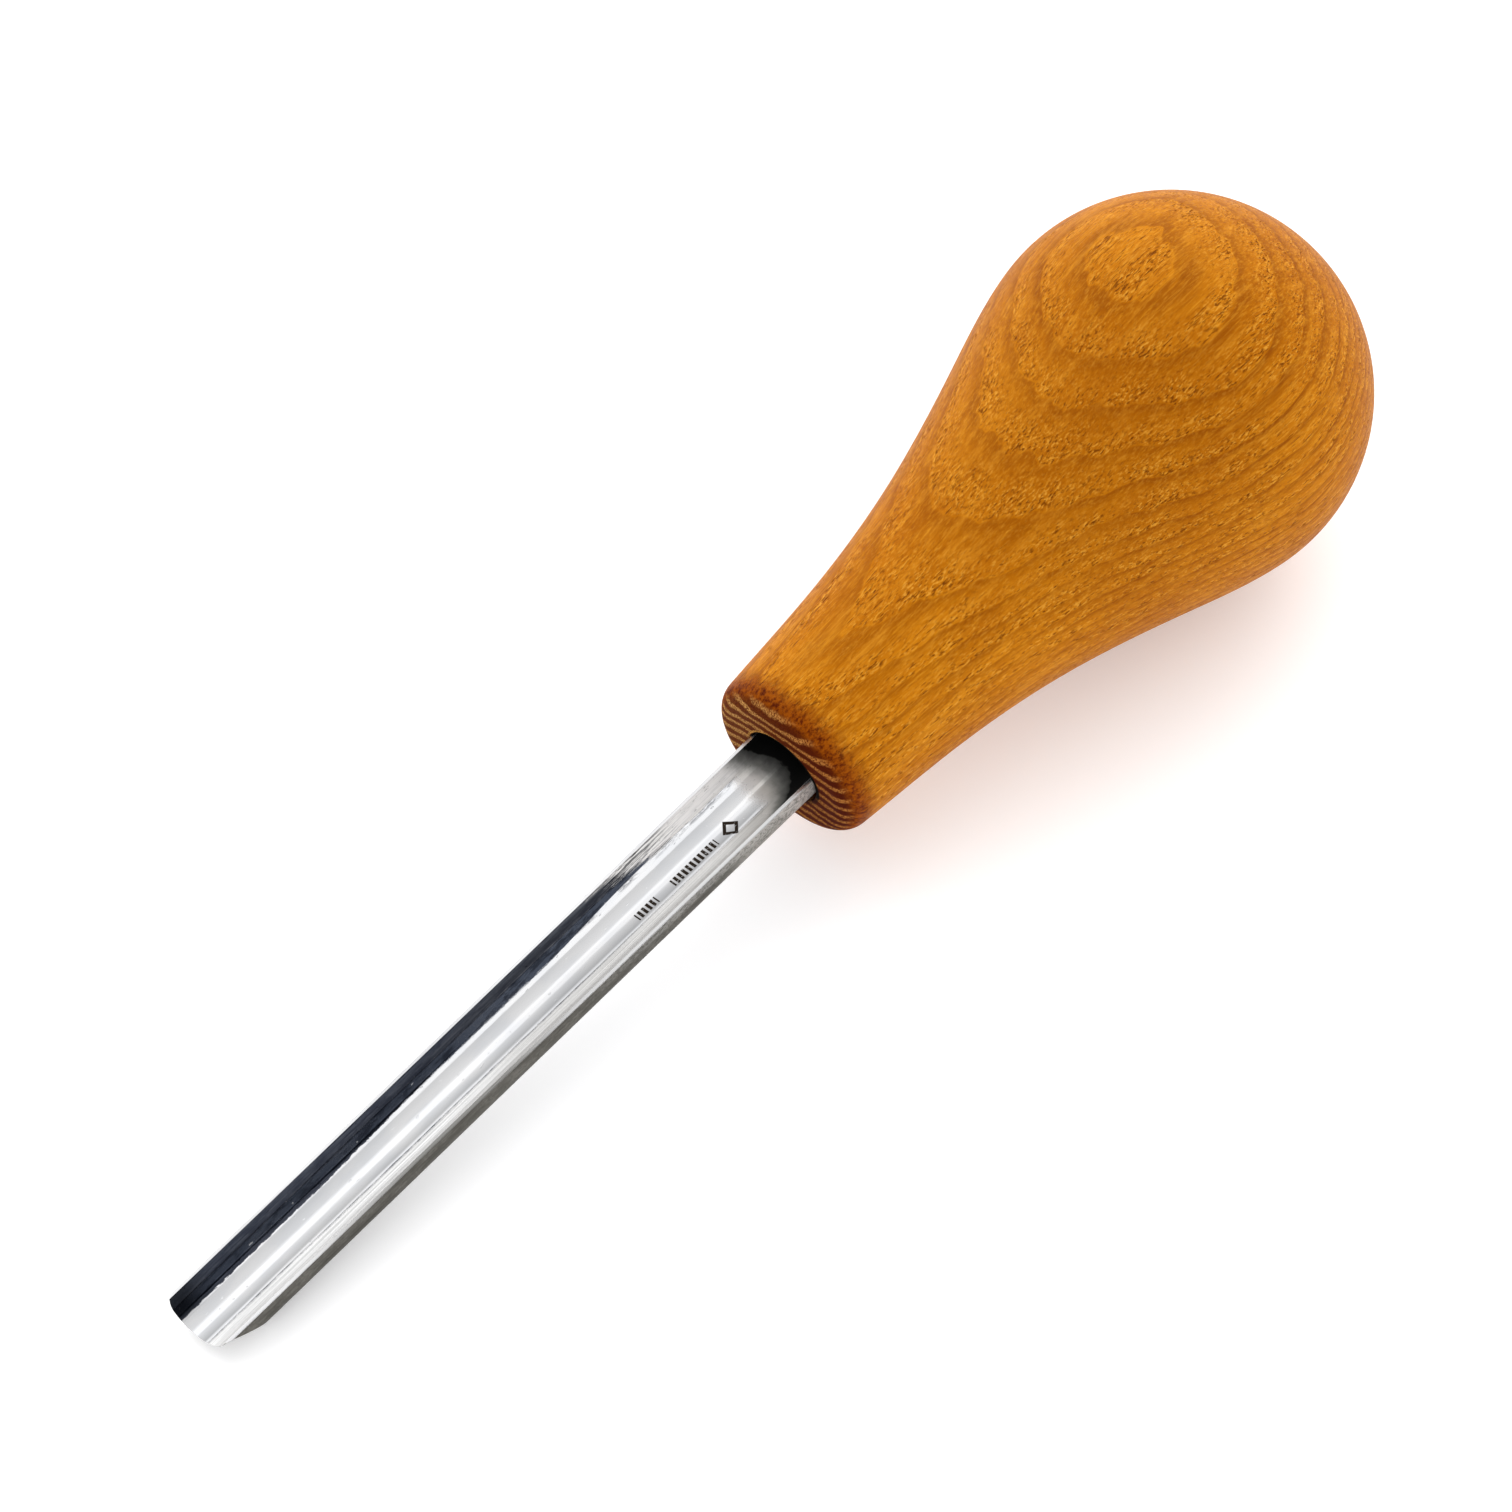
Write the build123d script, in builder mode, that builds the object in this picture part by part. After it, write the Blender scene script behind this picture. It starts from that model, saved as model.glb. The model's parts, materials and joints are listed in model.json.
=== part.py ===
"""Palm gouge for lino and wood: a U-section steel blade glued into a turned, pear-shaped handle.

Millimetres. The tool lies as it rests on a table: the floor is Z = 0, the heel of the blade's bevel and
the bulb of the handle touch it, the cutting edge points to -X and the channel faces up.
"""

from build123d import *

import os
from math import asin, atan2, cos, hypot, sin, sqrt

# ---- Driving dimensions ----

# Blade
cutting_width = 8.0
channel_radius = 4.24
rim_land = 0.37
rim_height = 1.8            # rim plane above the tool's axis
blade_depth = 5.45          # from the rim plane to the underside
underside_radius = 3.5
projecting_length = 90.0
edge_thickness = 0.03
edge_corner_radius = 1.1
edge_lead = 0.18            # share of the corner radius past which the edge starts to fall back
bevel_length = 7.6          # from the cutting edge to the heel, under the middle of the blade
hollow_grind = 0.16         # how far the bevel curves in from a straight line

# Shank and tang, inside the handle
shank_in_socket = 16.0
channel_stop = 7.0          # solid steel between the channel's end and the tang
tang_length = 20.0
tang_width = 5.0
tang_height = 3.4
tang_drop = 1.0             # centre of the tang below the tool's axis
tang_corner_radius = 0.6
tang_taper = 4.0            # degrees, each side

# Handle
front_radius = 10.2
front_edge_radius = 2.55
neck_flare = 5.0            # degrees
bulb_radius = 21.84
bulb_from_front = 61.5      # front face to the bulb's widest circle
bulb_round_ahead = 9.0      # degrees that the bulb stays spherical ahead of its widest circle
neck_points = [(15.4, 11.29), (30.8, 13.8), (46.2, 18.25)]   # distance from the front face, radius

# Socket
socket_radius = 4.75
socket_depth = 40.0
adhesive_recess = 8.0

cut_margin = 2.0            # how far cuts reach past the metal they remove

# ---- Dimensions that follow ----

half_width = cutting_width / 2 + rim_land
arc_rise = sqrt(channel_radius**2 - (cutting_width / 2) ** 2)
arc_height = rim_height + arc_rise                 # centre of the channel's arc above the tool's axis
underside_height = rim_height - blade_depth
side_foot = underside_height + underside_radius    # where each side wall starts to curve under
flat_half = half_width - underside_radius
section_length = projecting_length + shank_in_socket

# The tool's tilt, from the heel and the bulb that both touch the floor
tip_to_bulb = projecting_length + bulb_from_front
heel_to_bulb = tip_to_bulb - bevel_length
heel_angle = atan2(-underside_height, heel_to_bulb)
tilt = asin(bulb_radius / hypot(heel_to_bulb, underside_height)) - heel_angle
toward_butt = Vector(cos(tilt), 0, sin(tilt))
toward_rims = Vector(-sin(tilt), 0, cos(tilt))

# The foremost point is on the edge, a little way round its corners
corner_start = half_width - edge_corner_radius * (1 - edge_lead)
corner_height = arc_height - sqrt(channel_radius**2 - corner_start**2)
overall_length = tip_to_bulb * cos(tilt) + corner_height * sin(tilt) + bulb_radius
bulb_centre = Vector(overall_length / 2 - bulb_radius, 0, bulb_radius)
front_centre = bulb_centre - toward_butt * bulb_from_front
tip_centre = front_centre - toward_butt * projecting_length

# Side planes: X runs along the tool toward the butt, Y toward the rims
front_side = Plane(origin=front_centre, x_dir=toward_butt, z_dir=(0, -1, 0))
tip_side = Plane(origin=tip_centre, x_dir=toward_butt, z_dir=(0, -1, 0))
tool_axis = Axis(front_centre, toward_butt)
channel_axis = Axis(tip_centre + toward_rims * arc_height, toward_butt)


def across(distance_from_tip):
    """A plane square to the tool's axis, its X to the tool's side and its Y toward the rims."""
    return Plane(origin=tip_centre + toward_butt * distance_from_tip, x_dir=(0, 1, 0), z_dir=toward_butt)


os.makedirs("parts", exist_ok=True)

# ---- Handle: a turned solid with a blind socket ----

with BuildPart() as handle:
    with BuildSketch(front_side):
        with BuildLine():
            face_edge = Line((0, 0), (0, front_radius - front_edge_radius))
            front_edge = JernArc(
                start=face_edge @ 1,
                tangent=(0, 1),
                radius=front_edge_radius,
                arc_size=neck_flare - 90,
            )
            bulb = CenterArc(
                center=(bulb_from_front, 0),
                radius=bulb_radius,
                start_angle=90 + bulb_round_ahead,
                arc_size=-90 - bulb_round_ahead,
            )
            Spline(
                front_edge @ 1,
                *neck_points,
                bulb @ 0,
                tangents=[front_edge % 1, bulb % 0],
            )
            Line(bulb @ 1, (0, 0))
        make_face()
    revolve(axis=tool_axis)
    with BuildSketch(Plane(origin=front_centre, x_dir=(0, 1, 0), z_dir=toward_butt)):
        Circle(socket_radius)
    extrude(amount=socket_depth, mode=Mode.SUBTRACT)

# ---- Blade: U section, bevelled edge, shank and tang ----

with BuildPart() as blade:
    # Outside of the section, from the edge to the end of the shank
    with BuildSketch(across(0)):
        with BuildLine():
            Polyline(
                (-half_width, side_foot),
                (-half_width, rim_height),
                (half_width, rim_height),
                (half_width, side_foot),
            )
            CenterArc((flat_half, side_foot), underside_radius, 0, -90)
            Line((flat_half, underside_height), (-flat_half, underside_height))
            CenterArc((-flat_half, side_foot), underside_radius, 180, 90)
        make_face()
    extrude(amount=section_length)
    # Tang
    with BuildSketch(across(section_length)):
        with Locations((0, -tang_drop)):
            RectangleRounded(tang_width, tang_height, tang_corner_radius)
    extrude(amount=tang_length, taper=tang_taper)
    # Channel, which ends inside the handle
    with BuildSketch(across(0)):
        with Locations((0, arc_height)):
            Circle(channel_radius)
    extrude(amount=section_length - channel_stop, mode=Mode.SUBTRACT)
    # Outside bevel, slightly hollow, turned about the axis of the channel's arc
    with BuildSketch(tip_side):
        with BuildLine():
            edge_foot = arc_height - channel_radius - edge_thickness
            bevel = ThreePointArc(
                (0, edge_foot),
                (bevel_length / 2, (edge_foot + underside_height) / 2 + hollow_grind),
                (bevel_length, underside_height),
            )
            past_heel = bevel @ 1 + (bevel % 1) * cut_margin
            below_blade = underside_height - 2 * cut_margin
            Polyline(
                bevel @ 1,
                past_heel,
                (past_heel.X, below_blade),
                (-cut_margin, below_blade),
                (-cut_margin, edge_foot),
                bevel @ 0,
            )
        make_face()
    revolve(axis=channel_axis, mode=Mode.SUBTRACT)
    # Rounded corners of the cutting edge, cut square to the rim plane
    with BuildSketch(Plane(origin=tip_centre, x_dir=toward_butt, z_dir=toward_rims)):
        for side in (-1, 1):
            with BuildLine():
                inner = (0, side * (half_width - edge_corner_radius))
                outer = (edge_corner_radius, side * half_width)
                beyond = side * (half_width + cut_margin)
                RadiusArc(inner, outer, side * edge_corner_radius)
                Polyline(
                    outer,
                    (edge_corner_radius, beyond),
                    (-cut_margin, beyond),
                    (-cut_margin, inner[1]),
                    inner,
                )
            make_face()
    extrude(amount=blade_depth * 2, both=True, mode=Mode.SUBTRACT)

# ---- Adhesive: fills the socket round the shank and tang ----

with BuildPart() as socket_adhesive:
    with BuildSketch(Plane(origin=front_centre + toward_butt * adhesive_recess,
                           x_dir=(0, 1, 0), z_dir=toward_butt)):
        Circle(socket_radius)
    extrude(amount=socket_depth - adhesive_recess)
    add(blade.part, mode=Mode.SUBTRACT)

handle.part.label = "handle"
blade.part.label = "blade"
socket_adhesive.part.label = "socket_adhesive"

for piece in (handle, blade, socket_adhesive):
    export_step(piece.part, f"parts/{piece.part.label}.step")
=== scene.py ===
"""Looks of the palm gouge: a turned, oiled ash handle and a polished U-section blade, in a pale studio."""

import json
import math

import bpy
import numpy as np
from mathutils import Matrix, Vector


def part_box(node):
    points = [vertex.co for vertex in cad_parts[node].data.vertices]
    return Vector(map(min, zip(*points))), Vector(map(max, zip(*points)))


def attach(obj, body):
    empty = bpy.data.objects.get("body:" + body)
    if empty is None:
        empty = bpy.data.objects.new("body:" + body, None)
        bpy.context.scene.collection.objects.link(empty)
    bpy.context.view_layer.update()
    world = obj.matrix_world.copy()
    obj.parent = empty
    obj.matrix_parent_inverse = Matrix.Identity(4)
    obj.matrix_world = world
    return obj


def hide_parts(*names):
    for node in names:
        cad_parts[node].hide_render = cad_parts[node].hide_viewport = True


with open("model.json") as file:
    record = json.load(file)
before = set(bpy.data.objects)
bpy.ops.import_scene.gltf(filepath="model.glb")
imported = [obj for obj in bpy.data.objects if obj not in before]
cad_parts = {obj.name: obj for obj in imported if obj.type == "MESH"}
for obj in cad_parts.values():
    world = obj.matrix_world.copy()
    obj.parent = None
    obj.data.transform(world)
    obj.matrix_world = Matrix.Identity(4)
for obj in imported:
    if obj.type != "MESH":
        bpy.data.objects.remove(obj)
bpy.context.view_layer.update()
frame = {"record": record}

MM = 0.001

# ---- The tool's own frame ----
# X runs along the axis toward the butt, from the handle's front face, and Z toward the rims of the channel

mounts = {mount["name"]: mount for mount in frame["record"]["mounts"]}
toward_butt = Vector(mounts["palm_end"]["axis"]).normalized()
toward_left = Vector((0, 1, 0))
toward_rims = toward_butt.cross(toward_left)
butt = Vector(mounts["palm_end"]["pos_m"])
handle_length = (butt - Vector(mounts["front_face"]["pos_m"])).dot(toward_butt)
front_centre = butt - toward_butt * handle_length
blade_length = (front_centre - Vector(mounts["cutting_edge"]["pos_m"])).dot(toward_butt)
tool_frame = Matrix((toward_butt, toward_left, toward_rims)).transposed().to_4x4()
tool_frame.translation = front_centre

# ---- Sizes, in metres ----

# Handle
bulb_radius = (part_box("handle")[1][1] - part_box("handle")[0][1]) / 2
bulb_centre_x = handle_length - bulb_radius
front_radius = 10.2 * MM
front_edge_radius = 2.55 * MM
neck_flare = math.radians(5)
bulb_round_ahead = math.radians(9)
neck_points = [(15.4 * MM, 11.29 * MM), (30.8 * MM, 13.8 * MM), (46.2 * MM, 18.25 * MM)]
socket_radius = 4.75 * MM
socket_depth = 40 * MM
mouth_round = 0.18 * MM

# Blade
half_width = 4.37 * MM
half_channel = 4.0 * MM
channel_radius = 4.24 * MM
rim_height = 1.8 * MM
underside = -3.65 * MM
underside_radius = 3.5 * MM
rim_corner = 0.09 * MM
bevel_length = 7.6 * MM
hollow_grind = 0.16 * MM
edge_thickness = 0.03 * MM
edge_corner_radius = 1.1 * MM
shank_length = 16 * MM
channel_stop = 7 * MM
tang_length = 20 * MM
tang_half_width = 2.5 * MM
tang_half_height = 1.7 * MM
tang_drop = 1.0 * MM
tang_taper = math.radians(4)

arc_height = rim_height + math.sqrt(channel_radius**2 - half_channel**2)

# Fineness of the meshes; the sharp angles are in degrees
handle_segments = 320
handle_sharp_angle = 40
blade_columns = 73
blade_sharp_angle = 11


# ---- Mesh helpers ----

def add_piece(name, points, faces, sharp_angle):
    """A mesh object in the tool's frame, smooth except where faces meet at more than sharp_angle degrees."""
    mesh = bpy.data.meshes.new(name)
    mesh.from_pydata([tool_frame @ Vector(point) for point in points], [], faces)
    mesh.validate()
    piece = bpy.data.objects.new(name, mesh)
    bpy.context.collection.objects.link(piece)
    mesh.polygons.foreach_set("use_smooth", [True] * len(mesh.polygons))
    mesh.set_sharp_from_angle(angle=math.radians(sharp_angle))
    return piece


def arc(centre, radius, start, end, count):
    """Points of an arc in the plane of X and radius, angles in degrees from +X."""
    angles = np.radians(np.linspace(start, end, count))
    return [(centre[0] + radius * math.cos(a), centre[1] + radius * math.sin(a)) for a in angles]


def clamped_spline(knots, start_slope, end_slope, xs):
    """Heights at xs of the smooth cubic curve through the knots with the given slopes at its ends."""
    x, y = np.array(knots).T
    step, rise = np.diff(x), np.diff(y)
    slopes = np.zeros(len(x))
    matrix = np.eye(len(x))
    slopes[0], slopes[-1] = start_slope, end_slope
    for i in range(1, len(x) - 1):
        matrix[i, i - 1] = 1 / step[i - 1]
        matrix[i, i] = 2 / step[i - 1] + 2 / step[i]
        matrix[i, i + 1] = 1 / step[i]
        slopes[i] = 3 * (rise[i - 1] / step[i - 1] ** 2 + rise[i] / step[i] ** 2)
    slopes = np.linalg.solve(matrix, slopes)
    heights = []
    for value in xs:
        i = int(np.clip(np.searchsorted(x, value) - 1, 0, len(step) - 1))
        t = (value - x[i]) / step[i]
        heights.append(
            y[i] * (1 + 2 * t) * (1 - t) ** 2 + slopes[i] * step[i] * t * (1 - t) ** 2
            + y[i + 1] * t**2 * (3 - 2 * t) + slopes[i + 1] * step[i] * t**2 * (t - 1)
        )
    return heights


# ---- Handle ----

def handle_profile():
    """The outline from the bottom of the socket, out over the front face and back to the butt."""
    wall_steps, lip_steps, face_steps, edge_steps, neck_steps, bulb_steps = 12, 6, 9, 22, 110, 90
    flat_radius = front_radius - front_edge_radius
    outline = [(socket_depth, 0), (socket_depth, socket_radius)]
    outline += [(x, socket_radius) for x in np.linspace(socket_depth, mouth_round, wall_steps)[1:-1]]
    outline += arc((mouth_round, socket_radius + mouth_round), mouth_round, 270, 180, lip_steps)
    outline += [(0, r) for r in np.linspace(socket_radius + mouth_round, flat_radius, face_steps)[1:-1]]
    edge_end = 90 + math.degrees(neck_flare)
    edge = arc((front_edge_radius, flat_radius), front_edge_radius, 180, edge_end, edge_steps)
    bulb_start = 90 + math.degrees(bulb_round_ahead)
    bulb = arc((bulb_centre_x, 0), bulb_radius, bulb_start, 0, bulb_steps)
    neck_x = np.linspace(edge[-1][0], bulb[0][0], neck_steps)[1:-1]
    knots = [edge[-1], *neck_points, bulb[0]]
    neck_r = clamped_spline(knots, math.tan(neck_flare), math.tan(bulb_round_ahead), neck_x)
    return outline + edge + list(zip(neck_x, neck_r)) + bulb[:-1] + [(handle_length, 0)]


def turned_solid(name, outline, segments, sharp_angle):
    """Revolves an outline that starts and ends on the axis."""
    angles = np.linspace(0, 2 * math.pi, segments, endpoint=False)
    points = [(outline[0][0], 0, 0)]
    for x, r in outline[1:-1]:
        points += [(x, r * math.cos(a), r * math.sin(a)) for a in angles]
    points.append((outline[-1][0], 0, 0))
    last = len(points) - 1
    faces = []
    for j in range(segments):
        k = (j + 1) % segments
        faces.append((0, 1 + k, 1 + j))
        for ring in range(len(outline) - 3):
            a, b = 1 + ring * segments, 1 + (ring + 1) * segments
            faces.append((a + k, b + k, b + j, a + j))
        top = 1 + (len(outline) - 3) * segments
        faces.append((top + k, last, top + j))
    return add_piece(name, points, faces, sharp_angle)


# ---- Blade ----

def bevel_radius(from_edge):
    """Radius of the bevel's ground surface about the channel's axis, at a distance back from the edge."""
    start = channel_radius + edge_thickness
    rise = arc_height - underside - start
    t = from_edge / bevel_length
    inside = start + rise * t - 4 * hollow_grind * t * (1 - t)
    past = start + rise + (rise + 4 * hollow_grind) * (t - 1)
    return np.where(t < 1, inside, past)


bevel_table = np.linspace(0, 2 * bevel_length, 400)


def bevel_reach(radius):
    """Distance back from the edge at which the bevel reaches a radius about the channel's axis."""
    return float(np.interp(radius, bevel_radius(bevel_table), bevel_table))


def outside_point(angle):
    """The blade's outside, seen from the arc's centre at an angle in radians from straight down."""
    across, down = math.sin(abs(angle)), math.cos(angle)
    side_foot = underside + underside_radius
    flat_half = half_width - underside_radius
    reach = (arc_height - underside) / down
    if reach * across > flat_half:
        along = flat_half * across + (arc_height - side_foot) * down
        offset = flat_half**2 + (arc_height - side_foot) ** 2 - underside_radius**2
        reach = along + math.sqrt(along**2 - offset)
        if arc_height - reach * down > side_foot:
            reach = half_width / across
    return math.copysign(reach * across, angle), arc_height - reach * down


def edge_setback(y):
    """How far the rounded corners of the cutting edge lie behind its middle."""
    past = max(0.0, abs(y) - (half_width - edge_corner_radius))
    past = min(past, edge_corner_radius * 0.999)
    return edge_corner_radius - math.sqrt(edge_corner_radius**2 - past**2)


def ground_back(y, z, from_edge, on_rim):
    """A point of the outside once the bevel has cut it, sliding along the rim plane if it lies on a rim."""
    radius = float(bevel_radius(from_edge))
    if math.hypot(y, z - arc_height) <= radius:
        return y, z
    if on_rim:
        return math.copysign(math.sqrt(radius**2 - (z - arc_height) ** 2), y), z
    shrink = radius / math.hypot(y, z - arc_height)
    return y * shrink, arc_height + (z - arc_height) * shrink


def blade_section(columns):
    """One closed turn of the section as (y, z, part): channel left to right, right rim, outside, left rim."""
    channel_half_angle = math.asin(half_channel / channel_radius)
    outer_half_angle = math.atan2(half_width, arc_height - rim_height + rim_corner)
    turn = []
    for angle in np.linspace(channel_half_angle, -channel_half_angle, columns):
        y = channel_radius * math.sin(angle)
        z = arc_height - channel_radius * math.cos(angle)
        turn.append((y, z, "channel"))
    land_end = half_width - rim_corner
    rim = [(half_channel + (land_end - half_channel) * t, rim_height) for t in (0.12, 0.5, 1.0)]
    rim += arc((land_end, rim_height - rim_corner), rim_corner, 67, 23, 3)
    turn += [(-y, z, "rim") for y, z in rim]
    for angle in np.linspace(-outer_half_angle, outer_half_angle, columns):
        turn.append((*outside_point(angle), "outside"))
    turn += [(y, z, "rim") for y, z in reversed(rim)]
    return turn


def blade_rows(turn):
    """Rings of points from the cutting edge to the end of the shank, with the rows bent to follow the heel."""
    bevel_steps, settling_steps, straight_steps = 14, 6, 60
    bevel_rows = np.linspace(0, 1, bevel_steps, endpoint=False)
    settling_rows = np.linspace(0, 1, settling_steps, endpoint=False)
    settled = 1.5 * bevel_length
    straight_rows = np.linspace(settled, blade_length + shank_length - channel_stop, straight_steps)
    columns = []
    for y, z, part in turn:
        start = edge_setback(y)
        for _ in range(3):
            cut_y = y if part == "channel" else ground_back(y, z, start, part == "rim")[0]
            start = edge_setback(cut_y)
        if part == "channel":
            heel = start + bevel_length / 2
        else:
            heel = max(bevel_reach(math.hypot(y, z - arc_height)), start)
        stations = np.concatenate((
            start + (heel - start) * bevel_rows,
            heel + (settled - heel) * settling_rows,
            straight_rows,
        ))
        column = []
        for s in stations:
            cut = (y, z) if part == "channel" else ground_back(y, z, s, part == "rim")
            column.append((s - blade_length, *cut))
        columns.append(column)
    return [list(ring) for ring in zip(*columns)], len(bevel_rows)


def tang_point(y, z, half_width_here, half_height_here):
    """The tang's outline, a soft-cornered rectangle, in the direction of a point of the section."""
    dy, dz = y, z + tang_drop
    size = ((abs(dy) / half_width_here) ** 8 + (abs(dz) / half_height_here) ** 8) ** (1 / 8)
    return dy / size, dz / size - tang_drop


def merge_doubles(points, faces):
    """Makes points that coincide one. Returns the points, the faces that are left and their old numbers."""
    digits = 9    # to the nearest nanometre
    numbers = {}
    merged = [numbers.setdefault(tuple(round(c, digits) for c in point), len(numbers)) for point in points]
    left, old_numbers = [], []
    for old_number, face in enumerate(faces):
        corners = list(dict.fromkeys(merged[corner] for corner in face))
        if len(corners) > 2:
            left.append(corners)
            old_numbers.append(old_number)
    return list(numbers), left, old_numbers


def build_blade(columns):
    """The whole blade as one closed mesh. Returns the piece and a list that names the surface of each face."""
    turn = blade_section(columns)
    rings, bevel_count = blade_rows(turn)
    stop_x = rings[-1][0][0]
    shank_x = stop_x + channel_stop
    filled = [(y, rim_height if part == "channel" else z) for y, z, part in turn]
    rings.append([(stop_x, y, z) for y, z in filled])
    rings.append([(shank_x, y, z) for y, z in filled])
    for t in (0.0, 1.0):
        narrowing = t * tang_length * math.tan(tang_taper)
        sizes = (tang_half_width - narrowing, tang_half_height - narrowing)
        rings.append([(shank_x + t * tang_length, *tang_point(y, z, *sizes)) for y, z in filled])
    count = len(turn)
    points = [point for ring in rings for point in ring]
    points.append((shank_x + tang_length, 0, -tang_drop))
    faces, surfaces = [], []
    for i in range(len(rings) - 1):
        for j in range(count):
            k = (j + 1) % count
            faces.append((i * count + j, i * count + k, (i + 1) * count + k, (i + 1) * count + j))
            part = turn[j][2] if turn[j][2] == turn[k][2] else "rim"
            if i >= len(rings) - 5:
                part = "outside"
            if part == "outside" and i < bevel_count:
                part = "bevel"
            surfaces.append(part)
    # The narrow front of the edge joins the channel's first row to the outside's
    rims = (count - 2 * columns) // 2
    for j in range(columns - 1):
        outer = columns + rims + columns - 1 - j
        faces.append((j + 1, j, outer, outer - 1))
        surfaces.append("bevel")
    left_front = [columns + rims + columns - 1, *range(columns + rims + columns, count), 0]
    right_front = [columns - 1, *range(columns, columns + rims), columns + rims]
    for front in (left_front, right_front):
        faces.append(tuple(reversed(front)))
        surfaces.append("rim")
    last = (len(rings) - 1) * count
    for j in range(count):
        faces.append((last + j, last + (j + 1) % count, len(points) - 1))
        surfaces.append("outside")
    points, faces, old_numbers = merge_doubles(points, faces)
    return add_piece("blade_steel", points, faces, blade_sharp_angle), [surfaces[i] for i in old_numbers]


# ---- Node helpers ----

def linear(red, green, blue):
    """An sRGB colour, 0 to 255, as Blender's linear RGBA."""
    channels = [c / 255 for c in (red, green, blue)]
    return (*[c / 12.92 if c <= 0.04045 else ((c + 0.055) / 1.055) ** 2.4 for c in channels], 1)


class Graph:
    """A short way to write the node tree of a material or a world, which ends in the named shader."""

    def __init__(self, owner, shader="Principled BSDF"):
        owner.use_nodes = True
        self.owner = owner
        self.tree = owner.node_tree
        self.shader = self.tree.nodes[shader]

    def node(self, kind, inputs=None, **settings):
        made = self.tree.nodes.new(kind)
        for key, value in settings.items():
            setattr(made, key, value)
        for key, value in (inputs or {}).items():
            self.feed(made.inputs[key], value)
        return made

    def feed(self, socket, value):
        if isinstance(value, bpy.types.NodeSocket):
            self.tree.links.new(value, socket)
        else:
            socket.default_value = value

    def math(self, operation, a, b=0.0, c=0.0):
        return self.node("ShaderNodeMath", {0: a, 1: b, 2: c}, operation=operation).outputs[0]

    def times(self, first, *others):
        """The product of all the values."""
        for other in others:
            first = self.math("MULTIPLY", first, other)
        return first

    def plus(self, first, *others):
        """The sum of all the values."""
        for other in others:
            first = self.math("ADD", first, other)
        return first

    def minus(self, a, b):
        return self.math("SUBTRACT", a, b)

    def distance(self, value, centre):
        """How far a value is from a centre, either way."""
        return self.math("ABSOLUTE", self.minus(value, centre))

    def vector(self, operation, a, b=(0, 0, 0)):
        made = self.node("ShaderNodeVectorMath", {0: a}, operation=operation)
        if operation == "SCALE":
            self.feed(made.inputs["Scale"], b)
        else:
            self.feed(made.inputs[1], b)
        return made.outputs["Value" if operation in ("DOT_PRODUCT", "LENGTH") else "Vector"]

    def millimetres(self):
        """Coordinates in the tool's frame, in millimetres, X along the grain or the blade."""
        place = self.node("ShaderNodeTexCoord").outputs["Object"]
        place = self.vector("SCALE", self.vector("SUBTRACT", place, front_centre), 1 / MM)
        along = [self.vector("DOT_PRODUCT", place, axis) for axis in (toward_butt, toward_left, toward_rims)]
        return self.node("ShaderNodeCombineXYZ", dict(enumerate(along))).outputs[0]

    def split(self, vector):
        return self.node("ShaderNodeSeparateXYZ", {0: vector}).outputs

    def noise(self, place, stretch, detail=2.0, roughness=0.5):
        """Noise from 0 to 1 whose features are about 1 / stretch millimetres along each axis."""
        scaled = self.vector("MULTIPLY", place, stretch)
        inputs = {"Vector": scaled, "Scale": 1.0, "Detail": detail, "Roughness": roughness}
        return self.node("ShaderNodeTexNoise", inputs).outputs[0]

    def ramp(self, value, low, high, to_low=0.0, to_high=1.0):
        """A smooth step from to_low at low to to_high at high. High may be below low."""
        inputs = {"Value": value, "From Min": low, "From Max": high, "To Min": to_low, "To Max": to_high}
        return self.node("ShaderNodeMapRange", inputs, interpolation_type="SMOOTHSTEP").outputs[0]

    def blend(self, factor, a, b):
        made = self.node("ShaderNodeMix", data_type="RGBA")
        self.feed(made.inputs[0], factor)
        self.feed(made.inputs[6], a)
        self.feed(made.inputs[7], b)
        return made.outputs[2]

    def bump(self, height, distance, strength=1.0, normal=None):
        """A normal bent by a height from 0 to 1 that stands for the distance, on top of another bent normal."""
        inputs = {"Height": height, "Distance": distance, "Strength": strength}
        if normal is not None:
            inputs["Normal"] = normal
        return self.node("ShaderNodeBump", inputs).outputs[0]

    def finish(self, **sockets):
        """Feeds the shader's sockets, named with _ for a space, and returns the material or world."""
        for key, value in sockets.items():
            self.feed(self.shader.inputs[key.replace("_", " ")], value)
        return self.owner


def material_graph(name):
    """The node tree of a new material."""
    return Graph(bpy.data.materials.new(name))


# ---- Oiled ash ----

def growth_rings(g, place):
    """Where a point lies in its growth ring, 0 to 1. The rings are shells about a pith far below the handle."""
    wide_ring, narrow_ring = 2.07, 1.5
    wide_from = 11.1
    ring_tilt = math.radians(9)
    pith_distance = 70.0
    above_pith = (0, pith_distance * math.sin(ring_tilt), pith_distance * math.cos(ring_tilt))
    from_pith = g.vector("ADD", g.vector("MULTIPLY", place, (0, 1, 1)), above_pith)
    depth = g.minus(g.vector("LENGTH", from_pith), pith_distance)
    broad_waves = g.times(g.minus(g.noise(place, (0.03, 0.05, 0.05), 1), 0.5), 3.2)
    fine_waves = g.times(g.minus(g.noise(place, (0.13, 0.45, 0.45), 2), 0.5), 1.1)
    outward = g.minus(g.plus(depth, broad_waves, fine_waves), wide_from)
    wide = g.math("DIVIDE", g.math("MAXIMUM", outward, 0.0), wide_ring)
    narrow = g.math("DIVIDE", g.math("MINIMUM", outward, 0.0), narrow_ring)
    return g.math("FRACT", g.plus(wide, narrow))


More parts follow.
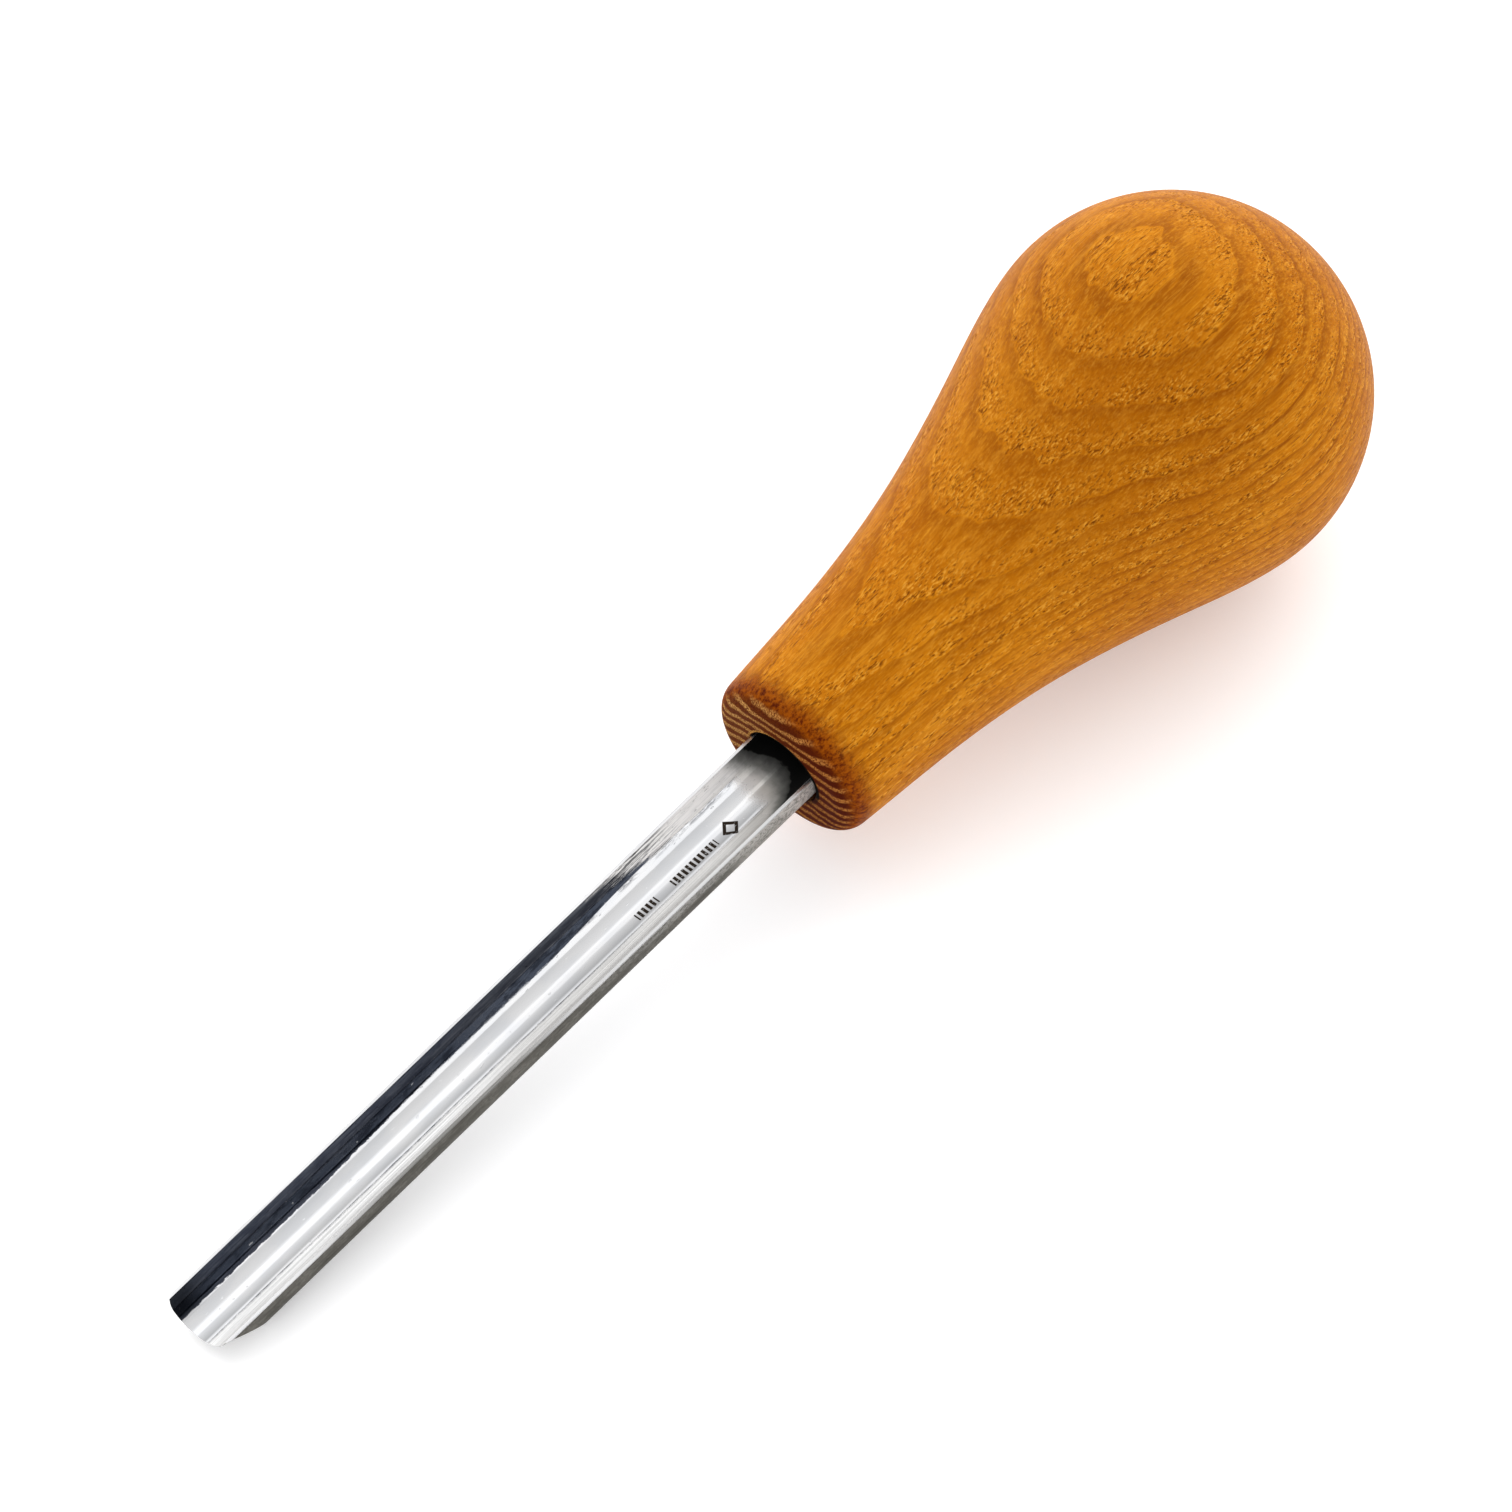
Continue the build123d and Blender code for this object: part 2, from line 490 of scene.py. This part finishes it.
def end_grain(g, x, y, phase, mottle, broken):
    """The striped front face and the dark edge round it."""
    pale = g.times(g.ramp(phase, 0.36, 0.58), g.ramp(phase, 0.96, 0.78), g.ramp(broken, 0.43, 0.56, 0.04, 0.95))
    lighter_side = g.ramp(y, -7.0, 8.0)
    stained = g.blend(lighter_side, linear(84, 18, 0), linear(140, 74, 18))
    stained = g.blend(g.ramp(broken, 0.35, 0.65, 0.0, 0.5), linear(76, 22, 2), stained)
    pale_colour = g.blend(lighter_side, linear(188, 120, 78), linear(206, 152, 114))
    stripes = g.blend(pale, stained, pale_colour)
    dark_edge = g.blend(g.ramp(mottle, 0.32, 0.62), linear(84, 22, 0), linear(152, 74, 4))
    return g.blend(g.ramp(x, 0.25, 1.2), stripes, dark_edge)


def oiled_ash():
    """Ring-porous ash, flat-sawn on top of the handle, soaked with amber oil."""
    g = material_graph("oiled_ash")
    place = g.millimetres()
    x, y, z = g.split(place)
    phase = growth_rings(g, place)
    early = g.times(g.ramp(phase, 0.0, 0.05), g.ramp(phase, 0.78, 0.25))

    # Open pores, thickest at the start of each ring: short dark dashes, each with a light lip
    patchy = g.ramp(g.noise(place, (0.1, 0.35, 0.35), 2), 0.36, 0.6, 0.4, 1.0)
    porous = g.times(g.math("MULTIPLY_ADD", early, 0.75, 0.3), patchy)
    pore_stretch, lip_shift = (1.2, 4.4, 4.4), (0.1, 0.1, -0.07)
    grain = g.noise(place, pore_stretch, 2, 0.6)
    lip = g.noise(g.vector("ADD", place, lip_shift), pore_stretch, 2, 0.6)
    first_row = g.times(g.ramp(phase, 0.0, 0.04), g.ramp(phase, 0.26, 0.1))
    dark = g.times(g.ramp(g.math("MULTIPLY_ADD", first_row, -0.035, grain), 0.45, 0.33), porous)
    light = g.times(g.ramp(lip, 0.52, 0.64), porous)
    fleck = g.noise(place, (0.4, 4.6, 4.6), 1)
    dark_fleck = g.times(g.ramp(fleck, 0.36, 0.26), g.math("MULTIPLY_ADD", early, 0.8, 0.2))

    # Fibres: fine silky streaks along the grain
    fibre = g.noise(place, (0.14, 3.0, 3.0), 3, 0.7)
    comb = g.noise(place, (0.3, 3.8, 3.8), 2, 0.6)
    silk = g.noise(place, (0.05, 0.9, 0.9), 2)
    flame = g.noise(place, (0.035, 0.5, 0.5), 2)
    blotch = g.noise(place, (0.05, 0.07, 0.07), 2)

    # A dark line ends each ring, faint at the crest of the handle and on the neck
    late_line = g.times(g.ramp(phase, 0.68, 0.93), g.ramp(phase, 1.0, 0.97))
    late_line = g.times(late_line, g.ramp(g.noise(place, (0.12, 0.3, 0.3), 2), 0.35, 0.6, 0.4, 1.0))
    off_crest = g.ramp(g.math("MULTIPLY_ADD", y, 0.5, z), 19.0, 8.0, 0.5, 0.82)
    late_line = g.times(late_line, off_crest, g.ramp(x, 24.0, 48.0, 0.5, 1.0))

    amber, honey = linear(188, 109, 4), linear(206, 127, 20)
    russet, umber = linear(160, 86, 0), linear(104, 48, 2)
    colour = g.blend(g.ramp(blotch, 0.3, 0.7), amber, honey)
    colour = g.blend(g.ramp(flame, 0.35, 0.75, 0.0, 0.45), colour, russet)
    colour = g.blend(g.ramp(phase, 0.25, 0.85, 0.0, 0.44), colour, russet)
    colour = g.blend(late_line, colour, linear(136, 66, 0))
    colour = g.blend(g.times(early, 0.2), colour, linear(190, 108, 30))
    colour = g.blend(g.ramp(silk, 0.5, 0.72, 0.0, 0.4), colour, linear(222, 146, 52))
    colour = g.blend(g.ramp(fibre, 0.5, 0.72, 0.0, 0.42), colour, linear(222, 146, 40))
    colour = g.blend(g.ramp(fibre, 0.46, 0.28, 0.0, 0.5), colour, russet)
    colour = g.blend(g.ramp(comb, 0.52, 0.68, 0.0, 0.26), colour, linear(232, 160, 64))
    colour = g.blend(g.ramp(comb, 0.46, 0.32, 0.0, 0.24), colour, linear(138, 70, 0))
    from_rich_patch = g.vector("LENGTH", g.vector("SUBTRACT", place, (45.0, -10.0, 14.0)))
    colour = g.blend(g.ramp(from_rich_patch, 26.0, 6.0, 0.0, 0.38), colour, russet)
    colour = g.blend(g.times(light, 0.55), colour, linear(236, 168, 84))
    colour = g.blend(g.times(dark, 0.72), colour, umber)
    colour = g.blend(g.times(dark_fleck, 0.7), colour, umber)

    # The front face and its rounded edge are end grain, which drinks the oil and turns dark
    broken = g.noise(place, (2.4, 5.6, 6.0), 3, 0.75)
    mottle = g.noise(place, (1.4, 2.2, 2.2), 3, 0.75)
    soak = g.plus(x, g.times(g.minus(mottle, 0.5), 1.4))
    colour = g.blend(g.ramp(soak, 4.4, 1.4), colour, end_grain(g, x, y, phase, mottle, broken))

    # The socket's wall is near black, for its adhesive and as painted shade deep in the hole
    from_axis = g.vector("LENGTH", g.vector("MULTIPLY", place, (0, 1, 1)))
    # Painted shade: a dark crescent reaches past the hole's edge onto the face on the right
    shifted = g.vector("ADD", place, (0, 0.3, -0.12))
    from_shade_crescent = g.vector("LENGTH", g.vector("MULTIPLY", shifted, (0, 1, 1)))
    ahead_of_bottom = g.math("LESS_THAN", x, 41.0)
    socket_shade_and_adhesive = g.math("MAXIMUM", g.ramp(from_shade_crescent, 5.1, 4.95), g.ramp(from_axis, 4.86, 4.78))
    socket_shade_and_adhesive = g.times(socket_shade_and_adhesive, ahead_of_bottom, g.ramp(z, -2.0, -0.9, 0.45, 1.0))
    lip_ring = g.times(g.ramp(from_axis, 4.84, 4.92), g.ramp(from_axis, 5.2, 5.06))
    lip_ring = g.times(lip_ring, g.ramp(z, 0.6, 2.4), g.ramp(x, 0.8, 0.3), g.ramp(broken, 0.4, 0.55))
    colour = g.blend(lip_ring, colour, linear(206, 150, 100))
    colour = g.blend(socket_shade_and_adhesive, colour, linear(5, 3, 2))

    # The studio light is brighter than white, so the whole is brought down to the colours above
    colour = g.vector("MULTIPLY", colour, (0.82, 0.82, 0.42))
    roughness = g.math("MULTIPLY_ADD", dark, 0.2, g.ramp(fibre, 0.3, 0.7, 0.42, 0.52))
    roughness = g.math("MAXIMUM", roughness, g.ramp(x, 0.8, 2.4, 0.75, 0.0))
    relief = g.minus(g.times(fibre, 0.3), g.plus(dark, dark_fleck))
    normal = g.bump(relief, 0.05 * MM, 0.8)
    return g.finish(Base_Color=colour, Roughness=roughness, Normal=normal, Specular_IOR_Level=0.03)


# ---- Steel ----

def ground_lines(g, place, fineness):
    """Long straight grinding lines along the blade, fineness to the millimetre."""
    lines = g.noise(place, (0.06, fineness, fineness), 3, 0.6)
    broad = g.noise(place, (0.02, fineness * 0.4, fineness * 0.4), 2)
    return g.math("MULTIPLY_ADD", broad, 0.6, lines)


def satin_wall(g, place, x, y, streaks):
    """Colour of the channel's right wall: brushed, with hairlines, darker toward its rim and the handle;
    painted shade right by the handle.
    """
    satin = g.blend(g.ramp(streaks, 0.36, 0.6), (0.66, 0.66, 0.65, 1), (0.95, 0.945, 0.935, 1))
    satin = g.blend(g.ramp(x, -56.0, -34.0, 0.0, 0.6), satin, (0.56, 0.55, 0.53, 1))
    near_rim = g.times(g.ramp(y, -2.2, -3.5, 0.0, 0.85), g.ramp(x, -62.0, -38.0, 0.6, 1.0))
    satin = g.blend(near_rim, satin, (0.44, 0.43, 0.415, 1))
    satin = g.blend(g.ramp(x, -26.0, -12.0, 0.0, 0.3), satin, (0.45, 0.44, 0.42, 1))
    # Painted shade of the handle over the last few millimetres before it
    satin = g.blend(g.ramp(x, -12.0, -6.0, 0.0, 0.6), satin, (0.4, 0.38, 0.35, 1))
    hairlines = g.ramp(g.noise(place, (0.03, 5.5, 5.5), 3, 0.65), 0.5, 0.4, 0.0, 0.55)
    return g.blend(g.times(hairlines, g.ramp(x, -75.0, -40.0)), satin, (0.3, 0.29, 0.275, 1))


def paint_left_wall_reflection(g, place, x, y, streaks, ragged_fine, colour):
    """The dark band under the left rim: a real reflection of the studio's dark gap, and painted reflection
    where the wall would reflect the metal opposite.
    """
    # Painted reflection: dark base colour under the left rim
    under_left_rim = g.ramp(g.math("MULTIPLY_ADD", ragged_fine, 0.1, y), 3.24, 3.42)
    shaded = g.blend(g.ramp(streaks, 0.4, 0.62), (0.06, 0.067, 0.085, 1), (0.12, 0.13, 0.155, 1))
    colour = g.blend(under_left_rim, colour, shaded)
    # Painted reflection: dark mottles in the band
    uneven = g.noise(place, (0.35, 1.6, 1.6), 4, 0.7)
    uneven = g.times(g.ramp(uneven, 0.56, 0.38, 0.0, 0.6), g.ramp(y, 2.45, 2.75))
    colour = g.blend(uneven, colour, (0.03, 0.034, 0.05, 1))

    # Toward the tip the painted dark reflection is wider, with a torn edge
    teeth = g.noise(place, (0.7, 3.0, 3.0), 3, 0.7)
    band_edge = g.ramp(x, -42.0, -74.0, 2.7, 2.24)
    past_edge = g.minus(g.math("MULTIPLY_ADD", teeth, 0.5, y), band_edge)
    widened = g.times(g.ramp(past_edge, 0.22, 0.28), g.ramp(y, 2.78, 2.68), g.ramp(x, -40.0, -46.0))
    dark_sheen = g.blend(g.ramp(streaks, 0.4, 0.6), (0.03, 0.034, 0.046, 1), (0.055, 0.06, 0.078, 1))
    colour = g.blend(widened, colour, dark_sheen)
    # Painted reflection: darker still away from the handle, darkest at the left corner of the tip
    far_from_handle = g.times(g.ramp(x, -34.0, -56.0, 0.0, 0.45), g.ramp(y, 2.7, 2.85))
    colour = g.blend(far_from_handle, colour, (0.02, 0.026, 0.045, 1))
    left_corner = g.times(g.ramp(x, -84.0, -88.8, 0.0, 0.9), g.ramp(y, 1.9, 2.5))
    return g.blend(left_corner, colour, (0.012, 0.014, 0.018, 1))


def scratch_near_handle(g, place, x, y, scratched, colour):
    """Milky unbuffed steel with painted reflection, two bright bands, dark scores along the left wall and small
    nicks.
    """
    painted_reflection_bands = ((2.6, 0.3), (0.8, 0.13))    # middle and half width
    # Painted reflection: the unbuffed steel is graded across the channel, with two bright bands
    milky_with_reflection = g.blend(g.ramp(y, 0.2, 0.9), (0.5, 0.475, 0.44, 1), (0.72, 0.69, 0.66, 1))
    milky_with_reflection = g.blend(g.ramp(y, 2.9, 3.2), milky_with_reflection, (0.93, 0.91, 0.89, 1))
    for middle, half_band in painted_reflection_bands:
        in_band = g.ramp(g.distance(y, middle), half_band, half_band + 0.14, 0.9, 0.0)
        milky_with_reflection = g.blend(in_band, milky_with_reflection, (1.0, 0.98, 0.93, 1))
    colour = g.blend(scratched, colour, milky_with_reflection)
    scores = g.ramp(g.noise(place, (0.22, 5.0, 5.0), 3, 0.7), 0.52, 0.42)
    scores = g.times(scores, g.ramp(y, 2.2, 3.0), g.ramp(x, -19.0, -11.0, 1.0, 0.15), scratched)
    colour = g.blend(scores, colour, (0.1, 0.1, 0.105, 1))
    nicks = g.times(scratched, g.ramp(g.noise(place, (1.2, 3.0, 3.0), 3, 0.7), 0.4, 0.28), 0.6)
    return g.blend(nicks, colour, (0.2, 0.19, 0.18, 1))


def etched_mark(g, place, x, y):
    """A plain mark, a lozenge and two rows of equal bars: 1 where it is etched."""
    mark_y, lozenge_x, bar_pitch = -0.44, -8.7, 0.62
    rows_of_bars = ((-14.3, 3.41), (-21.7, 1.55))    # middle and half length
    aside = g.distance(y, mark_y)
    reach = g.plus(g.distance(x, lozenge_x), aside)
    lozenge = g.times(g.ramp(reach, 1.22, 1.14), g.ramp(reach, 0.6, 0.68))
    from_bar = g.distance(g.math("FRACT", g.math("DIVIDE", x, bar_pitch)), 0.5)
    bars = g.times(g.ramp(from_bar, 0.33, 0.26), g.ramp(aside, 0.52, 0.46))
    in_rows = [g.math("LESS_THAN", g.distance(x, middle), half_length) for middle, half_length in rows_of_bars]
    worn = g.ramp(g.noise(place, (2.0, 4.0, 4.0), 2), 0.3, 0.42, 0.55, 1.0)
    return g.times(g.math("MAXIMUM", lozenge, g.times(bars, g.plus(*in_rows))), worn)


def polished_channel():
    """Buffed bright and a little wavy. Near the handle the wheel can't reach, so it is scratched there."""
    g = material_graph("polished_channel")
    place = g.millimetres()
    x, y, _ = g.split(place)
    lines = ground_lines(g, place, 2.4)
    waves = g.noise(place, (0.07, 0.8, 0.8), 3, 0.6)
    cloud = g.noise(place, (0.16, 0.45, 0.45), 3)
    streaks = g.noise(place, (0.05, 3.6, 3.6), 3, 0.7)
    tattered = g.noise(place, (0.16, 4.0, 4.0), 3, 0.7)
    ragged = g.math("MULTIPLY_ADD", g.noise(place, (0.5, 1.5, 1.5), 3, 0.7), 7.0, -3.5)
    ragged_fine = g.minus(g.noise(place, (1.2, 1.2, 1.2), 2), 0.5)

    # Zones: the scratched part runs farther out along the left rim
    slant = g.plus(g.times(g.minus(y, 2.9), 8.0), g.math("MULTIPLY_ADD", streaks, 20.0, -10.0))
    by_left_rim = g.ramp(g.math("MULTIPLY_ADD", tattered, 0.8, y), 3.24, 3.36)
    left_wall = g.times(g.ramp(g.plus(x, ragged, slant), -17.5, -13.5), by_left_rim)
    mouth = g.ramp(g.math("MULTIPLY_ADD", ragged, 0.2, x), -5.8, -2.5)
    scratched = g.math("MAXIMUM", left_wall, mouth)
    right_wall = g.ramp(g.math("MULTIPLY_ADD", ragged_fine, 0.3, y), -1.35, -1.75)

    colour = g.blend(g.ramp(cloud, 0.35, 0.65), (0.76, 0.77, 0.785, 1), (0.82, 0.82, 0.82, 1))
    right_half = g.times(g.ramp(y, 0.75, 0.3), g.ramp(x, -55.0, -32.0, 0.0, 0.32))
    colour = g.blend(right_half, colour, (0.42, 0.42, 0.425, 1))
    colour = g.blend(right_wall, colour, satin_wall(g, place, x, y, streaks))
    colour = paint_left_wall_reflection(g, place, x, y, streaks, ragged_fine, colour)
    colour = scratch_near_handle(g, place, x, y, scratched, colour)

    # At the socket: painted shadow of the handle and painted reflection of the dark bore, grey at its soft
    # front, then near black, behind a rounded front
    aside = g.minus(y, 0.7)
    behind_front = g.plus(g.times(aside, aside, 0.24), x, ragged_fine, 0.6)
    colour = g.blend(g.ramp(behind_front, -2.6, 0.2, 0.0, 0.85), colour, (0.2, 0.2, 0.185, 1))
    painted_socket_shadow = g.math("MAXIMUM", g.ramp(behind_front, 0.6, 1.5), g.ramp(behind_front, -1.9, 1.9, 0.0, 0.9))
    colour = g.blend(painted_socket_shadow, colour, (0.003, 0.0028, 0.0025, 1))
    mark = etched_mark(g, place, x, y)
    colour = g.blend(mark, colour, (0.03, 0.022, 0.016, 1))

    # Relief: grinding lines, buffing waves and pits, and a torn lower edge on the dark reflection
    pits = g.ramp(g.noise(place, (0.9, 2.2, 2.2), 2), 0.3, 0.24)
    relief = g.plus(g.times(lines, 0.05), g.minus(waves, pits), g.times(lines, scratched, 0.6))
    torn = g.noise(place, (0.9, 2.4, 2.4), 3, 0.7)
    torn = g.times(torn, g.ramp(y, 2.0, 2.4), g.ramp(y, 2.95, 2.75), 0.8)
    normal = g.bump(g.plus(relief, torn), 0.012 * MM)

    # A strip beside the scratches has been buffed flatter, wider toward the handle
    flat_width = g.times(g.ramp(x, -42.0, -18.0), 0.6)
    into_flat = g.math("MAXIMUM", g.math("MINIMUM", g.minus(y, 2.35), flat_width), 0.0)
    normal = g.bump(g.times(into_flat, into_flat, -0.15), 1 * MM, normal=normal)

    roughness = g.plus(
        g.ramp(cloud, 0.35, 0.7, 0.06, 0.12),
        g.times(right_wall, 0.16),
        g.times(scratched, 0.3),
        g.times(painted_socket_shadow, 0.2),
        g.times(mark, 0.4),
    )
    return g.finish(
        Base_Color=colour,
        Roughness=roughness,
        Normal=normal,
        Metallic=g.math("MULTIPLY_ADD", g.math("MAXIMUM", scratched, right_wall), -0.82, 1.0),
        Specular_IOR_Level=0.15,
    )


def ground_rim():
    """The narrow flats on top of the walls: ground bright, duller on the right except near the handle."""
    g = material_graph("ground_rim")
    place = g.millimetres()
    lines = ground_lines(g, place, 2.6)
    x, y, _ = g.split(place)
    colour = g.blend(g.ramp(lines, 0.5, 1.0), (0.72, 0.72, 0.73, 1), (0.86, 0.86, 0.86, 1))
    dull = g.times(g.ramp(x, -84.0, -58.0), g.ramp(y, 0.5, -0.5))
    dull = g.times(dull, g.ramp(x, -48.0, -34.0, 0.9, 0.25))
    colour = g.blend(dull, colour, (0.2, 0.195, 0.18, 1))
    roughness = g.ramp(lines, 0.5, 1.1, 0.2, 0.34)
    normal = g.bump(lines, 0.004 * MM)
    return g.finish(Base_Color=colour, Roughness=roughness, Normal=normal, Metallic=1.0)


def dull_outside():
    """Belt-ground and left dull: olive grey, blotched, with a brighter strip under the rims by the handle;
    painted dark reflection low down, painted light by the handle.
    """
    g = material_graph("dull_outside")
    place = g.millimetres()
    x, _, z = g.split(place)
    lines = ground_lines(g, place, 2.2)
    blotch = g.noise(place, (0.35, 0.8, 0.8), 4, 0.65)
    pitting = g.noise(place, (1.6, 2.6, 2.6), 2, 0.6)
    colour = g.blend(g.ramp(blotch, 0.35, 0.68), (0.085, 0.08, 0.068, 1), (0.17, 0.162, 0.144, 1))
    colour = g.blend(g.ramp(lines, 0.6, 1.05, 0.0, 0.5), colour, (0.3, 0.29, 0.265, 1))
    colour = g.blend(g.ramp(pitting, 0.4, 0.28, 0.0, 0.6), colour, (0.06, 0.056, 0.048, 1))
    # Painted dark reflection: darker toward the bottom, less so toward the handle
    low = g.times(g.ramp(z, 0.0, -2.6, 0.1, 0.7), g.ramp(x, -34.0, -8.0, 1.0, 0.35))
    colour = g.blend(low, colour, (0.05, 0.047, 0.04, 1))
    under_rim = g.ramp(g.plus(z, g.times(blotch, 0.6)), 0.5, 1.0)
    strip = g.times(g.ramp(x, -40.0, -12.0), under_rim)
    colour = g.blend(g.times(strip, 0.6), colour, (0.5, 0.49, 0.47, 1))
    # Painted light on the wall near the handle, where the handle's shadow falls
    painted_light_by_handle = g.times(g.ramp(x, -15.0, -9.0), g.ramp(z, -2.6, -1.0))
    colour = g.blend(g.times(painted_light_by_handle, 0.55), colour, (0.42, 0.4, 0.37, 1))
    painted_light_at_face = g.times(g.ramp(x, -6.0, -1.0), g.ramp(z, -2.0, -0.6))
    colour = g.blend(g.times(painted_light_at_face, 0.7), colour, (0.62, 0.57, 0.54, 1))
    specks = g.ramp(g.noise(place, (2.6, 4.2, 4.2), 3, 0.75), 0.54, 0.4, 0.0, 0.8)
    colour = g.blend(specks, colour, (0.1, 0.096, 0.085, 1))
    roughness = g.ramp(blotch, 0.3, 0.7, 0.34, 0.5)
    relief = g.plus(lines, g.times(pitting, 0.5))
    return g.finish(
        Base_Color=colour,
        Roughness=roughness,
        Normal=g.bump(relief, 0.006 * MM),
        Metallic=g.math("MULTIPLY_ADD", painted_light_by_handle, -0.5, 0.8),
        Specular_IOR_Level=0.2,
        Specular_Tint=(0.4, 0.4, 0.4, 1),
    )


def honed_bevel():
    """The sharpened bevel, honed across the blade."""
    g = material_graph("honed_bevel")
    place = g.millimetres()
    across_lines = g.noise(place, (2.4, 0.35, 0.35), 3, 0.6)
    cloud = g.noise(place, (0.4, 0.4, 0.4), 2)
    colour = g.blend(g.ramp(across_lines, 0.35, 0.65), (0.3, 0.295, 0.28, 1), (0.48, 0.475, 0.46, 1))
    roughness = g.ramp(cloud, 0.3, 0.7, 0.16, 0.28)
    normal = g.bump(across_lines, 0.003 * MM)
    return g.finish(Base_Color=colour, Roughness=roughness, Normal=normal, Metallic=1.0)


def dark_adhesive():
    """Set adhesive, almost black and lumpy."""
    g = material_graph("dark_adhesive")
    place = g.millimetres()
    lumps = g.noise(place, (0.8, 0.8, 0.8), 3)
    colour = g.blend(g.ramp(lumps, 0.3, 0.7), linear(10, 8, 6), linear(30, 22, 16))
    roughness = g.ramp(lumps, 0.3, 0.7, 0.45, 0.7)
    return g.finish(Base_Color=colour, Roughness=roughness, Normal=g.bump(lumps, 0.1 * MM))


# ---- Pieces ----

handle = turned_solid("handle_wood", handle_profile(), handle_segments, handle_sharp_angle)
handle.data.materials.append(oiled_ash())
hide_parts("handle")
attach(handle, "root")

blade, blade_surfaces = build_blade(blade_columns)
finishes = {
    "channel": polished_channel(),
    "rim": ground_rim(),
    "outside": dull_outside(),
    "bevel": honed_bevel(),
}
for material in finishes.values():
    blade.data.materials.append(material)
order = list(finishes)
blade.data.polygons.foreach_set("material_index", [order.index(part) for part in blade_surfaces])
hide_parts("blade")
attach(blade, "root")

adhesive = dark_adhesive()
for slot in bpy.data.objects["socket_adhesive"].material_slots:
    slot.material = adhesive

# ---- Studio ----

def direction_from(azimuth, elevation):
    """The direction toward a place seen at these angles, in degrees. Azimuth 0 is -Y and 90 is +X."""
    az, el = math.radians(azimuth), math.radians(elevation)
    return Vector((math.sin(az) * math.cos(el), -math.cos(az) * math.cos(el), math.sin(el)))


def add_light(name, azimuth, elevation, distance, width, height, power):
    """A softbox aimed at the front of the handle."""
    direction = direction_from(azimuth, elevation)
    lamp = bpy.data.lights.new(name, "AREA")
    lamp.shape = "RECTANGLE"
    lamp.size, lamp.size_y = width, height
    lamp.energy = power
    light = bpy.data.objects.new(name, lamp)
    bpy.context.collection.objects.link(light)
    light.location = front_centre + direction * distance
    light.rotation_euler = direction.to_track_quat("Z", "Y").to_euler()


add_light("key_softbox", azimuth=105, elevation=38, distance=0.9, width=0.5, height=0.5, power=1.0)


def angle_ramp(g, turn, stops):
    """Half the brightness round the X axis, from stops of (degrees from straight up toward -Y, brightness)."""
    ramp = g.node("ShaderNodeValToRGB", {0: turn})
    elements = ramp.color_ramp.elements
    inner = [elements.new((degrees + 180) / 360) for degrees, level in stops[1:-1]]
    for element, (degrees, level) in zip([elements[0], *inner, elements[-1]], stops):
        red, green, blue = level if isinstance(level, tuple) else (level, level, level * 1.01)
        element.color = (red / 2, green / 2, blue / 2, 1)
    return ramp.outputs[0]


def studio_world():
    """A tent of strip softboxes parallel to the tool, with a dark gap low on the camera's side."""
    strength = 1.5
    dimmest, brightest = 0.95, 1.86    # for matt surfaces, by how far they face the butt
    gap = (0.1, 0.118, 0.16)
    tent = [
        (-180, 1.6), (-79, 1.6), (-75, 1.0), (-72, 1.6), (-58, 1.55), (-52, 0.82),
        (-26, 1.25), (-21, 1.75), (-7, 1.75), (0, 1.2), (34, 1.0), (37, 1.6),
        (46, 1.6), (49, gap), (120, gap), (126, 0.9), (180, 1.2),
    ]
    matt = [(-180, 1.0), (-85, 2.0), (-40, 1.7), (5, 1.1), (40, 0.95), (88, 1.6), (180, 1.0)]
    world = bpy.data.worlds.new("studio")
    bpy.context.scene.world = world
    g = Graph(world, "Background")
    x, y, z = g.split(g.node("ShaderNodeTexCoord").outputs["Generated"])
    angle = g.math("ARCTAN2", g.times(y, -1.0), z)
    turn = g.node("ShaderNodeMapRange", {"Value": angle, "From Min": -math.pi, "From Max": math.pi}).outputs[0]

    # Matt surfaces get a softer version of the tent, a little brighter from the butt's side
    to_levels = {"Value": x, "From Min": -1.0, "To Min": dimmest, "To Max": brightest}
    from_butt = g.node("ShaderNodeMapRange", to_levels).outputs[0]
    softer = g.vector("SCALE", angle_ramp(g, turn, matt), from_butt)
    is_glossy = g.node("ShaderNodeLightPath").outputs["Is Glossy Ray"]
    g.finish(Color=g.blend(is_glossy, softer, angle_ramp(g, turn, tent)), Strength=strength)


studio_world()

floor_mesh = bpy.data.meshes.new("floor")
floor_half = 3.0
floor_glow = 0.2
corners = [(sx * floor_half, sy * floor_half, 0) for sx, sy in ((-1, -1), (1, -1), (1, 1), (-1, 1))]
floor_mesh.from_pydata(corners, [], [(0, 1, 2, 3)])
floor = bpy.data.objects.new("floor", floor_mesh)
bpy.context.collection.objects.link(floor)
floor_graph = material_graph("pale_floor")
floor_mesh.materials.append(floor_graph.finish(
    Base_Color=(0.9, 0.9, 0.9, 1),
    Roughness=0.8,
    Emission_Color=(1, 1, 1, 1),
    Emission_Strength=floor_glow,
))

# ---- Camera ----

camera_distance = 1.7
sensor_width, focal_length = 36, 384    # in millimetres, as Blender takes them
camera_data = bpy.data.cameras.new("camera")
camera_data.sensor_width = sensor_width
camera_data.lens = focal_length
camera = bpy.data.objects.new("camera", camera_data)
bpy.context.collection.objects.link(camera)
view_azimuth, view_elevation, view_roll = -48.5, 53.2, 1.68    # in degrees
aim = Vector((-1.0, 0, 20.17)) * MM
toward_camera = direction_from(view_azimuth, view_elevation)
camera.location = aim + toward_camera * camera_distance
camera_turn = toward_camera.to_track_quat("Z", "Y").to_matrix()
camera.rotation_euler = (camera_turn @ Matrix.Rotation(math.radians(view_roll), 3, "Z")).to_euler()
bpy.context.scene.camera = camera
bpy.context.scene.view_settings.view_transform = "Standard"
